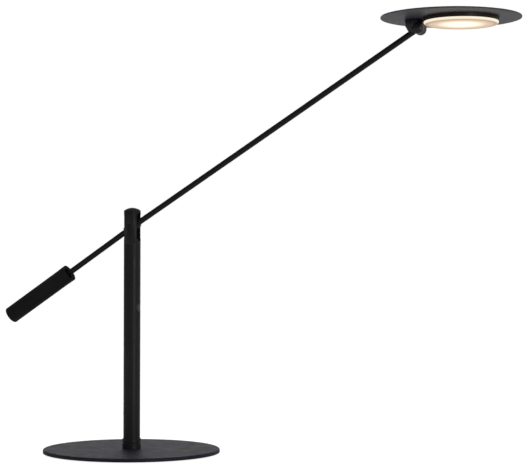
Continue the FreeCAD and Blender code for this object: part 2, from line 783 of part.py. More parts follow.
clevis_cuts = [
    block(boss_d * 2, gap_half * 2, slot_h, x=boss_x, z=slot_roof - slot_h),
    rod(clevis_wire_d / 2, disc_z - slot_roof, x=boss_x, z=slot_roof),
    rod(head_lead_hole_r, boss_d, x=boss_x, z=head_lead_z, along="x"),
    rod(hinge_r + push, boss_d, x=hinge_x, z=hinge_z, along="y"),
    rod(hinge_head_r + screw_clear, boss_d, x=hinge_x, y=hinge_head_from - slip, z=hinge_z, along="y"),
    rod(hinge_thread_r + push, hinge_thread_end, x=hinge_x, z=hinge_z, along="-y"),
]
for side in SIDES:
    clevis_cuts.append(rod(
        clevis_screw_r + push, disc_z - clevis_screw_end,
        x=boss_x, y=side * clevis_screw_at, z=clevis_screw_end))
piece("head_clevis", cut(clevis_blank, *clevis_cuts))

# Hinge screw: head in the far ear, shoulder through the rod end, thread in the near ear.
shoulder_end = gap_half - slip
hinge_screw = fuse(
    rod(hinge_r, hinge_head_from + shoulder_end, x=hinge_x, y=0 - shoulder_end, z=hinge_z, along="y"),
    rod(hinge_head_r, hinge_head_t, x=hinge_x, y=hinge_head_from, z=hinge_z, along="y"),
    rod(hinge_thread_r, hinge_thread_end - slip, x=hinge_x, z=hinge_z, along="-y"),
)
hinge_socket = rod(
    socket_d / 2, hinge_socket_h,
    x=hinge_x, y=hinge_head_from + hinge_head_t - hinge_socket_h, z=hinge_z, along="y")
piece("hinge_screw", cut(hinge_screw, hinge_socket))

# Friction washers on both sides of the eye.
hinge_washers = []
for turn, side in (("-y", -1), ("y", 1)):
    hinge_washers.append(tube(
        hinge_washer_d / 2, hinge_r + running, hinge_washer_t,
        x=hinge_x, y=side * (eye_half + slip), z=hinge_z, along=turn))
piece("hinge_washers", group(*hinge_washers))

# Shade disc with countersunk holes for the clevis screws and studs for the light module.
stud_end = led_board_z - slip * 2 - nut_small_h - stud_tail
disc = turned(
    "shade_disc",
    (0, disc_z),
    (disc_d / 2, disc_z),
    (disc_d / 2, disc_top),
    (0, disc_top),
)
disc = rounded(disc, disc_round, (disc_d / 2, disc_z), (disc_d / 2, disc_top))
bind(disc, Placement__Base__x=disc_x)
stud_r = stud_d / 2
studs = []
for angle in STUD_ANGLES:
    stud = rod(stud_r, disc_top - disc_t / 2 - stud_end, x=stud_circle, z=stud_end)
    studs.append(at_module(spun(angle, stud)))
disc_holes = []
clevis_screws = []
clevis_head_r = clevis_screw_head_d / 2
for side in SIDES:
    disc_holes.append(countersunk(
        clevis_head_r + screw_clear, clevis_screw_r + screw_clear, disc_t * 2,
        x=boss_x, y=side * clevis_screw_at, z=disc_top, along="-z"))
    clevis_screws.append(countersunk(
        clevis_head_r, clevis_screw_r, clevis_screw_l,
        x=boss_x, y=side * clevis_screw_at, z=disc_top - slip, along="-z"))
piece("shade_disc", cut(fuse(disc, *studs), *disc_holes))
piece("clevis_screws", group(*clevis_screws))

# Lead from the clevis to the light module.
led_board_r = housing_r - led_board_gap
head_lead_x = boss_x + head_lead_start
head_lead_l = module_x - led_board_r - slip - head_lead_x
piece("head_lead", rod(head_lead_r, head_lead_l, x=head_lead_x, z=head_lead_z, along="x"))

# Light module: a shallow cup held on the studs.
housing = at_module(turned(
    "led_housing",
    (0, floor_z),
    (housing_r, floor_z),
    (housing_r, housing_z),
    (module_r, housing_z),
    (module_r, disc_z - slip),
    (0, disc_z - slip),
))
housing_holes = []
board_holes = []
sheet_holes = []
module_nuts = []
nut_from = led_board_z - slip * 2 - nut_small_h
for angle in STUD_ANGLES:
    housing_holes.append(at_module(spun(angle, rod(stud_r + push, housing_h, x=stud_circle, z=housing_z))))
    board_holes.append(at_module(spun(angle, rod(stud_r + push, housing_h, x=stud_circle, z=housing_z))))
    sheet_holes.append(at_module(spun(angle, rod(nut_hole_r, housing_h, x=stud_circle, z=housing_z))))
    module_nuts.append(at_module(spun(angle, cut(
        hexagon(nut_small_flats, nut_small_h, x=stud_circle, z=nut_from),
        rod(stud_r + push, nut_small_h, x=stud_circle, z=nut_from)))))
housing_holes.append(rod(head_lead_hole_r, module_r - led_board_r + slip, x=module_x - module_r - slip,
                         z=head_lead_z, along="x"))
piece("led_housing", cut(housing, *housing_holes))

# Board with the light chips in rings, and the white sheet that surrounds them.
board_blank = rod(led_board_r, led_board_t - slip, x=module_x, z=led_board_z)
piece("led_board", cut(board_blank, *board_holes))
chips = []
for ring_number, count in enumerate(CHIP_COUNTS, 1):
    for index in range(count):
        angle = index * 360 / count
        at = ring_pitch * ring_number
        chip = block(chip_w, chip_w, chip_t, x=at, z=led_board_z - slip - chip_t)
        chips.append(at_module(spun(angle, chip)))
        sheet_holes.append(at_module(spun(angle, block(
            chip_w + sheet_gap * 2, chip_w + sheet_gap * 2, chip_t, x=at, z=led_board_z - slip - chip_t))))
piece("led_chips", group(*chips))
sheet_blank = rod(led_board_r, sheet_t, x=module_x, z=led_board_z - slip - sheet_t)
piece("reflector_sheet", cut(sheet_blank, *sheet_holes))
piece("module_nuts", group(*module_nuts))

# Diffuser: a shallow dish with a lip that grips inside the cup.
diffuser_r = module_r - diffuser_inset
lip_out = housing_r - push
diffuser = turned(
    "diffuser",
    (0, diffuser_z),
    (diffuser_r, diffuser_z),
    (diffuser_r, housing_z - slip),
    (lip_out, housing_z - slip),
    (lip_out, housing_z + diffuser_lip_h),
    (lip_out - diffuser_lip_t, housing_z + diffuser_lip_h),
    (lip_out - diffuser_lip_t, diffuser_z + diffuser_hollow),
    (0, diffuser_z + diffuser_hollow),
)
piece("diffuser", at_module(rounded(diffuser, diffuser_round, (diffuser_r, diffuser_z))))

# Every object must be sound, and every piece goes into its own file.
doc.recompute()
for thing in doc.Objects:
    if "Invalid" in thing.State or "Error" in thing.State:
        raise RuntimeError("object %s is in state %s" % (thing.Label, thing.State))
for thing in pieces:
    if thing.Shape.isNull() or not thing.Shape.isValid() or not thing.Shape.Solids:
        raise RuntimeError("piece %s has no sound shape" % thing.Label)
    thing.Shape.exportStep("parts/%s.step" % thing.Label)
print("%d pieces" % len(pieces))
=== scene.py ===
import bpy
import bmesh
import math
from mathutils import Matrix, Vector


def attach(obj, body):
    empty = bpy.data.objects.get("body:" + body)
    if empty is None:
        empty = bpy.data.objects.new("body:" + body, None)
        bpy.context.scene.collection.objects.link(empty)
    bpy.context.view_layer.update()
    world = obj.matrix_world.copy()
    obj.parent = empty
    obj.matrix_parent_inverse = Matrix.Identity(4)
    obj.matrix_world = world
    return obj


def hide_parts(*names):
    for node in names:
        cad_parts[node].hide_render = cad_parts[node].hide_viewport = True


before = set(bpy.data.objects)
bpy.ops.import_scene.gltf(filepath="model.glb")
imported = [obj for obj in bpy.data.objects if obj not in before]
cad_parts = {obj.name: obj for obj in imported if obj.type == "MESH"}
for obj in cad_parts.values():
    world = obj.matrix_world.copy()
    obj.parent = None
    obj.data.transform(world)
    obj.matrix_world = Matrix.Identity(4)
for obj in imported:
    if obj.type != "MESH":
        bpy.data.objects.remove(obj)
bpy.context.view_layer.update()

# Studio: the lamp stands on a plain white table top that runs into a white sheet behind it.
# One wide soft lamp hangs overhead, a small low panel stands to the right, a weak one to the left.
# The camera is level, at about the middle of the post, and turned a little across the arm.
CAMERA_PLACE = (0.7461, -1.7272, 0.21872)
CAMERA_TURN = math.radians(18.787)
CAMERA_ROLL = math.radians(0.17)
FOCAL_PIXELS = 1652.9
PICTURE_WIDTH = 529
HORIZON_DROP = 25.82
FILM_WIDTH = 36
scene = bpy.context.scene
scene.view_settings.view_transform = "Standard"
camera = bpy.data.cameras.new("camera")
camera.sensor_width = FILM_WIDTH
camera.lens = FOCAL_PIXELS / PICTURE_WIDTH * FILM_WIDTH
camera.shift_y = HORIZON_DROP / PICTURE_WIDTH
viewer = bpy.data.objects.new("camera", camera)
viewer.location = CAMERA_PLACE
viewer.rotation_euler = (math.radians(90), -CAMERA_ROLL, CAMERA_TURN)
scene.collection.objects.link(viewer)
scene.camera = viewer


def soft_lamp(name, place, target, width, height, power, mirrored=True):
    """A soft panel lamp that points at a target. The camera doesn't see it; gloss may or may not."""
    lamp = bpy.data.lights.new(name, "AREA")
    lamp.shape = "RECTANGLE"
    lamp.size = width
    lamp.size_y = height
    lamp.energy = power
    holder = bpy.data.objects.new(name, lamp)
    holder.location = place
    aim = Vector(target) - Vector(place)
    holder.rotation_euler = aim.to_track_quat("-Z", "Y").to_euler()
    holder.visible_camera = False
    holder.visible_glossy = mirrored
    scene.collection.objects.link(holder)


LAMP_MIDDLE = (0.1, 0, 0.25)
soft_lamp("overhead_lamp", place=(0.1, -0.1, 2.2), target=LAMP_MIDDLE,
          width=2.0, height=2.0, power=22, mirrored=False)
soft_lamp("right_panel", place=(1.5, -1.1, 0.22), target=(0, 0, 0.22),
          width=0.4, height=0.44, power=3.2)
soft_lamp("left_panel", place=(-1.9, -1.0, 0.9), target=LAMP_MIDDLE,
          width=0.8, height=1.6, power=2, mirrored=False)


def node(tree, kind, inputs=None, **settings):
    """Adds a shader node. An input is a value, or the socket of an earlier node that feeds it."""
    made = tree.nodes.new("ShaderNode" + kind)
    for name, value in settings.items():
        setattr(made, name, value)
    for name, value in (inputs or {}).items():
        if isinstance(value, bpy.types.NodeSocket):
            tree.links.new(value, made.inputs[name])
        else:
            made.inputs[name].default_value = value
    return made


def seen_by(tree, *kinds):
    """A socket that is 1 for the given kinds of light ray and 0 for all others."""
    path = node(tree, "LightPath")
    seen = path.outputs[kinds[0]]
    for kind in kinds[1:]:
        both = node(tree, "Math", {0: seen, 1: path.outputs[kind]}, operation="MAXIMUM")
        seen = both.outputs["Value"]
    return seen


ROOM_LIGHT = 0.4
FRONT_GLOSS = 0.14
SIDE_GLOSS = 0.45
SHEET_EDGE = math.cos(math.radians(48))
SHEET_FULL = math.cos(math.radians(15))
SIDE_EDGE = 0.3
SIDE_FULL = 0.8
SHEET_WHITE = 1.0
world = bpy.data.worlds.new("white_sheet")
world.use_nodes = True
room = world.node_tree
ray = node(room, "TexCoord").outputs["Generated"]


def toward(direction, from_cosine, to_cosine, low, high):
    """A socket that rises from low to high as a ray turns towards a direction."""
    likeness = node(room, "VectorMath", {0: ray, 1: direction}, operation="DOT_PRODUCT")
    return node(room, "MapRange", {
        "Value": likeness.outputs["Value"], "From Min": from_cosine, "From Max": to_cosine,
        "To Min": low, "To Max": high}, interpolation_type="SMOOTHSTEP").outputs["Result"]


behind = (-math.sin(CAMERA_TURN), math.cos(CAMERA_TURN), 0)
right_hand = (math.cos(CAMERA_TURN), math.sin(CAMERA_TURN), 0)
sheet_part = toward(behind, SHEET_EDGE, SHEET_FULL, 0, 1)
side_part = toward(right_hand, SIDE_EDGE, SIDE_FULL, FRONT_GLOSS, SIDE_GLOSS)
gloss = node(room, "Math", {0: sheet_part, 1: side_part}, operation="MAXIMUM").outputs["Value"]
reflected = node(room, "Mix", {
    "Factor": seen_by(room, "Is Glossy Ray", "Is Transmission Ray"), "A": ROOM_LIGHT, "B": gloss})
white = node(room, "Mix", {
    "Factor": seen_by(room, "Is Camera Ray"), "A": reflected.outputs["Result"], "B": SHEET_WHITE})
room.links.new(white.outputs["Result"], room.nodes["Background"].inputs["Strength"])
room.nodes["Background"].inputs["Color"].default_value = (1, 1, 1, 1)
scene.world = world

TABLE_SIZE = 12
TABLE_DROP = 0.0002
TABLE_WHITE = 0.65
TABLE_SHADE = 0.3
TABLE_GLOW = 0.88
TABLE_ROUGH = 0.8
TABLE_GLOSS = 0.1
bpy.ops.mesh.primitive_plane_add(size=TABLE_SIZE, location=(0.1, 0, -TABLE_DROP))
table_top = bpy.context.object
table_top.name = "table_top"
table_paint = bpy.data.materials.new("white_table")
table_paint.use_nodes = True
table_tree = table_paint.node_tree
table_shader = table_tree.nodes["Principled BSDF"]
table_shader.inputs["Roughness"].default_value = TABLE_ROUGH
table_shader.inputs["Specular IOR Level"].default_value = TABLE_GLOSS
table_shader.inputs["Emission Color"].default_value = (1, 1, 1, 1)
looked_at = seen_by(table_tree, "Is Camera Ray")
table_tone = node(table_tree, "MapRange", {
    "Value": looked_at, "To Min": TABLE_WHITE, "To Max": TABLE_SHADE})
table_tree.links.new(table_tone.outputs["Result"], table_shader.inputs["Base Color"])
table_glow = node(table_tree, "MapRange", {"Value": looked_at, "To Max": TABLE_GLOW})
table_tree.links.new(table_glow.outputs["Result"], table_shader.inputs["Emission Strength"])
table_top.data.materials.append(table_paint)

# Foot pad: a disc of soft black rubber between plate and table, glued on from below.
# It is set in from the rim, so that the plate seems to float.
# Rings of grooves in its underside make it grip.
MM = 0.001
CLOSE = 0.01 * MM
SMOOTH_ANGLE = math.radians(32)
ALONG = {"x": (0, math.radians(90), 0), "y": (math.radians(-90), 0, 0), "z": (0, 0, 0)}


def close_edit():
    """Leaves edit mode and selects nothing."""
    if bpy.context.object and bpy.context.object.mode == "EDIT":
        bpy.ops.object.mode_set(mode="OBJECT")
    bpy.ops.object.select_all(action="DESELECT")


def settle(piece):
    """Puts the place and turn of a piece into its mesh and leaves only that piece selected."""
    close_edit()
    piece.select_set(True)
    bpy.context.view_layer.objects.active = piece
    bpy.ops.object.transform_apply(location=True, rotation=True, scale=True)
    return piece


def round_stock(name, radius, start, end, x=0, y=0, z=0, along="z", sides=96):
    """Round bar in millimetres, from start to end along one axis through the point x, y, z."""
    close_edit()
    middle = Vector((x, y, z)) + Vector([(start + end) / 2 * (axis == along) for axis in "xyz"])
    bpy.ops.mesh.primitive_cylinder_add(
        vertices=sides, radius=radius * MM, depth=(end - start) * MM,
        location=middle * MM, rotation=ALONG[along])
    bpy.context.object.name = name
    return settle(bpy.context.object)


def pick(piece, kind, wanted):
    """Opens a piece in edit mode with only the wanted faces, edges or points selected."""
    close_edit()
    piece.select_set(True)
    bpy.context.view_layer.objects.active = piece
    bpy.ops.object.mode_set(mode="EDIT")
    bpy.ops.mesh.select_mode(type=kind)
    bpy.ops.mesh.select_all(action="DESELECT")
    shape = bmesh.from_edit_mesh(piece.data)
    parts = {"FACE": shape.faces, "EDGE": shape.edges, "VERT": shape.verts}[kind]
    for part in parts:
        if wanted(part):
            part.select_set(True)
    bmesh.update_edit_mesh(piece.data)


def end_face(axis, at):
    """Tells the flat face that looks along an axis and lies at a height in millimetres."""
    index = "xyz".index(axis)

    def wanted(face):
        level = face.calc_center_median()[index]
        return abs(face.normal[index]) > 0.99 and abs(level - at * MM) < CLOSE
    return wanted


def rim(axis, at):
    """Tells the edges that lie at a height in millimetres on an axis."""
    index = "xyz".index(axis)
    return lambda edge: all(abs(point.co[index] - at * MM) < CLOSE for point in edge.verts)


def bevel(width, steps):
    """Rounds the picked edges by a width in millimetres."""
    bpy.ops.mesh.bevel(
        offset=width * MM, offset_type="OFFSET", segments=steps, profile=0.5, affect="EDGES")


def inset(width, rise=0.0):
    """Draws the picked faces in by a width and out by a rise, both in millimetres."""
    bpy.ops.mesh.inset(thickness=width * MM, depth=rise * MM)


def finish_edit(piece):
    """Leaves edit mode and smooths every edge flatter than the smoothing angle."""
    settle(piece)
    bpy.ops.object.shade_smooth_by_angle(angle=SMOOTH_ANGLE)


def fit(piece, material, body, slot, *nodes):
    """Gives a new piece its material and body, and hides the nodes it replaces; slot is not used."""
    piece.data.materials.clear()
    piece.data.materials.append(material)
    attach(piece, body)
    if nodes:
        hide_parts(*nodes)


def dress(material, *names):
    """Gives nodes that stay as they are their material."""
    for name in names:
        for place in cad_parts[name].material_slots:
            place.material = material


def shade(name, roughness, specular=0.5, metal=0.0):
    """A material with plain shader settings, its node tree, and the place that patterns read."""
    material = bpy.data.materials.new(name)
    material.use_nodes = True
    tree = material.node_tree
    shader = tree.nodes["Principled BSDF"]
    shader.inputs["Roughness"].default_value = roughness
    shader.inputs["Specular IOR Level"].default_value = specular
    shader.inputs["Metallic"].default_value = metal
    return material, tree, shader, node(tree, "TexCoord").outputs["Object"]


def clouds(tree, place, size, detail=3.0):
    """Soft random patches of a size in millimetres."""
    noise = node(tree, "TexNoise", {"Vector": place, "Scale": 1 / (size * MM), "Detail": detail})
    return noise.outputs["Fac"]


PATCH_LOW = 0.3
PATCH_HIGH = 0.7


def tint(tree, shader, pattern, dark, light):
    """Colours a surface between two tints by a pattern."""
    ramp = node(tree, "ValToRGB", {"Fac": pattern})
    ramp.color_ramp.elements[0].position = PATCH_LOW
    ramp.color_ramp.elements[0].color = (*dark, 1)
    ramp.color_ramp.elements[1].position = PATCH_HIGH
    ramp.color_ramp.elements[1].color = (*light, 1)
    tree.links.new(ramp.outputs["Color"], shader.inputs["Base Color"])
    return ramp


def vary_gloss(tree, shader, pattern, low, high):
    """Lets the roughness of a surface wander between two values."""
    span = node(tree, "MapRange", {
        "Value": pattern, "From Min": PATCH_LOW, "From Max": PATCH_HIGH,
        "To Min": low, "To Max": high})
    tree.links.new(span.outputs["Result"], shader.inputs["Roughness"])


def emboss(tree, shader, pattern, strength, depth, below=None):
    """Raises a surface by a pattern, by a depth in millimetres, over an earlier relief."""
    relief = node(tree, "Bump", {"Height": pattern, "Strength": strength, "Distance": depth * MM})
    if below:
        tree.links.new(below.outputs["Normal"], relief.inputs["Normal"])
    tree.links.new(relief.outputs["Normal"], shader.inputs["Normal"])
    return relief


def rubber(name, dark, light):
    """Soft matt rubber with a fine moulded grain and a little dust in it."""
    material, tree, shader, place = shade(name, roughness=0.85, specular=0.25)
    tint(tree, shader, clouds(tree, place, size=6), dark, light)
    grain = clouds(tree, place, size=0.35, detail=2.0)
    emboss(tree, shader, grain, strength=0.5, depth=0.06)
    return material


PAD_R = 90
PAD_TOP = 1
PAD_EDGE = 0.2
PAD_BORDER = 6
GROOVES = 3
GROOVE_DEPTH = 0.4
GROOVE_SLOPE = 0.3
GROOVE_FLOOR = 2.0
GROOVE_APART = 7.0
pad_rubber = rubber("pad_rubber", (0.016, 0.016, 0.017), (0.026, 0.026, 0.027))
foot_pad = round_stock("foot_pad_grooved", PAD_R, 0, PAD_TOP, sides=128)
pick(foot_pad, "EDGE", rim("z", 0))
bevel(PAD_EDGE, steps=2)
pick(foot_pad, "FACE", end_face("z", 0))
inset(PAD_BORDER)
for groove in range(GROOVES):
    inset(GROOVE_SLOPE, -GROOVE_DEPTH)
    inset(GROOVE_FLOOR)
    inset(GROOVE_SLOPE, GROOVE_DEPTH)
    inset(GROOVE_APART)
finish_edit(foot_pad)
fit(foot_pad, pad_rubber, "base", "pad_rubber", "foot_pad")

# Base plate: a heavy disc cut from 4 mm steel, its top rim turned round, its lower edge broken.
# It is powder coated satin black, with the faint orange peel and cloudiness of sprayed paint.
# The swivel ring is screwed to it from below.
PLATE_R = 100
PLATE_BOTTOM = PAD_TOP
PLATE_TOP = 5
PLATE_ROUND = 1.4
PLATE_BREAK = 0.3
PLATE_BORDER = 0.2
PLATE_FIELD = 85.0
EDGE_HIGHLIGHT_RADIUS = 0.35
EDGE_HIGHLIGHT_TONE = (0.05, 0.05, 0.052)


def edge_glint(tree, radius):
    """A socket that is 1 on edges of about a radius in millimetres and 0 on flats."""
    softened = node(tree, "Bevel", {"Radius": radius * MM}, samples=4).outputs["Normal"]
    sharp = node(tree, "NewGeometry").outputs["Normal"]
    likeness = node(tree, "VectorMath", {0: softened, 1: sharp}, operation="DOT_PRODUCT")
    return node(tree, "MapRange", {
        "Value": likeness.outputs["Value"], "From Min": 1.0, "From Max": 0.8}).outputs["Result"]


def powder_coat(name, dark, light, rough, specular):
    """Sprayed satin coat: orange peel, fine grit, cloudy tint, painted highlight on edges."""
    material, tree, shader, place = shade(name, rough, specular)
    ramp = tint(tree, shader, clouds(tree, place, size=30), dark, light)
    # The edges are mixed towards a lighter tone: a painted highlight.
    highlighted_edges = node(tree, "Mix", {
        "Factor": edge_glint(tree, EDGE_HIGHLIGHT_RADIUS), "A": ramp.outputs["Color"],
        "B": (*EDGE_HIGHLIGHT_TONE, 1)}, data_type="RGBA")
    tree.links.new(highlighted_edges.outputs["Result"], shader.inputs["Base Color"])
    vary_gloss(tree, shader, clouds(tree, place, size=9), rough - 0.05, rough + 0.05)
    orange = clouds(tree, place, size=1.8, detail=2.0)
    peel = emboss(tree, shader, orange, strength=0.2, depth=0.05)
    grit = clouds(tree, place, size=0.3, detail=2.0)
    emboss(tree, shader, grit, strength=0.25, depth=0.02, below=peel)
    return material


# The blue in the plate's tint is a painted cool reflection on its top.
plate_coat = powder_coat(
    "plate_coat", (0.009, 0.009, 0.017), (0.012, 0.012, 0.022), rough=0.58, specular=0.22)
base_plate = round_stock("base_plate_turned", PLATE_R, PLATE_BOTTOM, PLATE_TOP, sides=256)
pick(base_plate, "EDGE", rim("z", PLATE_TOP))
bevel(PLATE_ROUND, steps=6)
pick(base_plate, "EDGE", rim("z", PLATE_BOTTOM))
bevel(PLATE_BREAK, steps=2)
for level in (PLATE_TOP, PLATE_BOTTOM):
    pick(base_plate, "FACE", end_face("z", level))
    inset(PLATE_BORDER)
    inset(PLATE_FIELD)
finish_edit(base_plate)
fit(base_plate, plate_coat, "base", "black_steel", "base_plate")

# Swivel: a turned steel ring on the plate and a collar around the foot of the post, both blacked
# and waxed, with a thin plastic washer between them. Inside are the bolt, washers and nut that
# clamp the post, the screws that hold the ring, and the pin that stops its turn.


def turned_black(name, dark, light, rough, specular):
    """Blackened steel off the lathe: faint rings around the upright axis of the post."""
    material, tree, shader, place = shade(name, rough, specular)
    tint(tree, shader, clouds(tree, place, size=4), dark, light)
    stretched = node(tree, "Mapping", {"Vector": place, "Scale": (0.02, 0.02, 1.0)})
    rings = clouds(tree, stretched.outputs["Vector"], size=0.12, detail=2.0)
    emboss(tree, shader, rings, strength=0.35, depth=0.02)
    vary_gloss(tree, shader, clouds(tree, place, size=2), rough - 0.06, rough + 0.06)
    return material


def zinc_plate(name):
    """Bright zinc on steel, with fine scratches and a faint yellow and blue cast."""
    material, tree, shader, place = shade(name, roughness=0.32, metal=1.0)
    patches = clouds(tree, place, size=3)
    tint(tree, shader, patches, dark=(0.50, 0.51, 0.54), light=(0.62, 0.61, 0.57))
    drawn = node(tree, "Mapping", {"Vector": place, "Scale": (1.0, 1.0, 0.06)})
    scratches = clouds(tree, drawn.outputs["Vector"], size=0.15)
    emboss(tree, shader, scratches, strength=0.3, depth=0.02)
    vary_gloss(tree, shader, clouds(tree, place, size=1.5), low=0.25, high=0.42)
    return material


def moulded_plastic(name, dark, light, rough):
    """Moulded plastic with a fine spark-eroded grain."""
    material, tree, shader, place = shade(name, rough)
    tint(tree, shader, clouds(tree, place, size=5), dark, light)
    grain = clouds(tree, place, size=0.2, detail=2.0)
    emboss(tree, shader, grain, strength=0.35, depth=0.03)
    vary_gloss(tree, shader, clouds(tree, place, size=3), rough - 0.05, rough + 0.05)
    return material


ring_black = turned_black(
    "ring_black", (0.006, 0.006, 0.008), (0.010, 0.010, 0.012), rough=0.42, specular=0.4)
zinc = zinc_plate("zinc_plate")
acetal = moulded_plastic("bearing_acetal", (0.66, 0.65, 0.61), (0.74, 0.73, 0.70), rough=0.45)
black_acetal = moulded_plastic(
    "washer_acetal", (0.012, 0.012, 0.013), (0.02, 0.02, 0.021), rough=0.5)
dress(ring_black, "swivel_ring", "post_collar")
dress(zinc, "swivel_bolt", "ring_screws", "stop_pin", "clamp_washer", "disc_spring", "lock_nut",
      "foot_plug")
dress(black_acetal, "swivel_washer")

# Post: a drawn steel tube of 19 mm, powder coated satin black like the rods and the post head.
# The lead to the arm stands inside it, on the carrier of the touch switch.
# All the leads have the same soft black jacket.
post_coat = powder_coat(
    "post_coat", (0.0095, 0.0095, 0.0097), (0.0125, 0.0125, 0.0128), rough=0.4, specular=0.26)
dress(post_coat, "post_tube")
jacket = rubber("lead_jacket", (0.02, 0.02, 0.02), (0.03, 0.03, 0.03))
dress(jacket, "post_lead", "arm_lead", "head_lead")

# Touch switch: a round cap of smooth black plastic that fills a hole in the post and follows its
# curve. A finger dish is pressed into it and a thin ring of steel is let in around the dish.
# Behind it a small circuit board feels the finger, held by a moulded carrier.
SWITCH_Z = 165
CAP_R = 5.0
CAP_BACK = 4.3
CAP_FACE = 9.0
CAP_BREAK = 0.12
CURVE_REACH = 9
RING_OUT = 4.75
RING_IN = 4.35
RING_DEPTH = 3.5
RING_PROUD = 0.12
RING_BREAK = 0.05
DISH_DEPTH = 0.35
DISH_R = 22
SHARP_ANGLE = math.radians(38)


def carve(piece, tool, how="DIFFERENCE"):
    """Cuts, adds or keeps the space of a tool, as on a mill, and throws the tool away."""
    settle(piece)
    mill = piece.modifiers.new("mill", "BOOLEAN")
    mill.operation = how
    mill.solver = "EXACT"
    mill.object = tool
    bpy.ops.object.modifier_apply(modifier=mill.name)
    bpy.data.objects.remove(tool)
    return piece


def break_edges(piece, width, steps=2):
    """Breaks every sharp edge of a piece, as a file or a tumbler does, and smooths the rest."""
    settle(piece)
    file = piece.modifiers.new("file", "BEVEL")
    file.width = width * MM
    file.segments = steps
    file.limit_method = "ANGLE"
    file.angle_limit = SHARP_ANGLE
    file.harden_normals = True
    bpy.ops.object.modifier_apply(modifier=file.name)
    bpy.ops.object.shade_smooth_by_angle(angle=SHARP_ANGLE)


def post_curve(radius):
    """A stretch of round bar as thick as the post, to cut a face that follows the tube."""
    return round_stock("post_curve", radius, -CURVE_REACH, CURVE_REACH, z=SWITCH_Z, sides=192)


cap = round_stock(
    "touch_cap", CAP_R, CAP_BACK, CAP_FACE + 1, z=SWITCH_Z, along="x", sides=64)
carve(cap, post_curve(CAP_FACE), "INTERSECT")
bpy.ops.mesh.primitive_uv_sphere_add(
    segments=96, ring_count=64, radius=DISH_R * MM,
    location=((CAP_FACE - DISH_DEPTH + DISH_R) * MM, 0, SWITCH_Z * MM), rotation=ALONG["x"])
carve(cap, settle(bpy.context.object))
groove = round_stock(
    "groove", RING_OUT, CAP_FACE - RING_DEPTH, CAP_FACE + 2, z=SWITCH_Z, along="x", sides=64)
carve(groove, round_stock(
    "core", RING_IN, CAP_FACE - 5, CAP_FACE + 3, z=SWITCH_Z, along="x", sides=64))
glint = groove.copy()
glint.data = groove.data.copy()
scene.collection.objects.link(glint)
glint.name = "touch_glint_ring"
carve(cap, groove)
carve(glint, post_curve(CAP_FACE + RING_PROUD), "INTERSECT")
break_edges(cap, CAP_BREAK)
break_edges(glint, RING_BREAK)
cap_plastic = moulded_plastic(
    "cap_plastic", (0.010, 0.010, 0.011), (0.014, 0.014, 0.015), rough=0.3)
fit(cap, cap_plastic, "post", "button_plastic", "touch_button")
glint_steel = turned_black(
    "glint_steel", (0.05, 0.05, 0.05), (0.08, 0.08, 0.08), rough=0.35, specular=0.5)
fit(glint, glint_steel, "post", "steel")
carrier_plastic = moulded_plastic(
    "carrier_plastic", (0.02, 0.02, 0.02), (0.03, 0.03, 0.03), rough=0.6)
dress(carrier_plastic, "switch_carrier")


def board(name, mask, copper):
    """Circuit board: solder mask over copper tracks that show through as a raised maze."""
    material, tree, shader, place = shade(name, roughness=0.35)
    tracks = node(tree, "TexVoronoi", {"Vector": place, "Scale": 450.0}, distance="CHEBYCHEV")
    tint(tree, shader, tracks.outputs["Distance"], mask, copper)
    emboss(tree, shader, tracks.outputs["Distance"], strength=0.4, depth=0.03)
    return material


dress(board("green_board", (0.02, 0.12, 0.05), (0.05, 0.22, 0.10)), "sensor_board")

# Cable inlet: a short bush of black rubber, pressed into the hole at the back of the post near
# its foot, where a supply cable would enter. Its face is flush with the tube and follows it,
# and its edges are rounded so that they don't chafe a cable.
INLET_Z = 45
BUSH_R = 3.45
BUSH_BORE = 2.6
BUSH_FACE = 9.62
BUSH_DEPTH = 4.0
BUSH_BREAK = 0.2
bush = round_stock(
    "inlet_bush", BUSH_R, -BUSH_FACE - 1, -BUSH_FACE + BUSH_DEPTH, z=INLET_Z, along="x", sides=48)
carve(bush, round_stock("tube_curve", BUSH_FACE, -12, 12, z=INLET_Z, sides=192), "INTERSECT")
carve(bush, round_stock("cable_way", BUSH_BORE, -14, 0, z=INLET_Z, along="x", sides=48))
break_edges(bush, BUSH_BREAK)
fit(bush, pad_rubber, "post", "pad_rubber", "inlet_grommet")

# Post head: a fork turned from solid steel, domed on top, pressed into the tube, coated with it.
# A slot with round ends is milled right through for the arm, and each cheek is bored for the
# pivot. Every edge is broken, which also leaves the fine seam where the fork meets the tube.
POST_R = 9.5
SEAM_Z = 236.9
SHOULDER_Z = 274.7
CROWN_RISE = 3.3
CROWN_STEPS = 10
PIVOT_Z = 256.05
SLOT_LENGTH = 30
SLOT_HALF = 5.6
SLOT_TOP = PIVOT_Z + 16.7
SLOT_BOTTOM = PIVOT_Z - 16.4
SLOT_FLAT = 0.02
PIN_BORE_R = 3.05
WIRE_BORE_R = 3.5
SEAT_R = 3.25
CHEEK_SEAT = 8.2
FORK_BREAK = 0.3


def block(name, size, middle):
    """Square bar in millimetres around its middle, as a tool for the mill."""
    close_edit()
    bpy.ops.mesh.primitive_cube_add(size=1, location=[at * MM for at in middle])
    bpy.context.object.name = name
    bpy.context.object.scale = [side * MM for side in size]
    return settle(bpy.context.object)


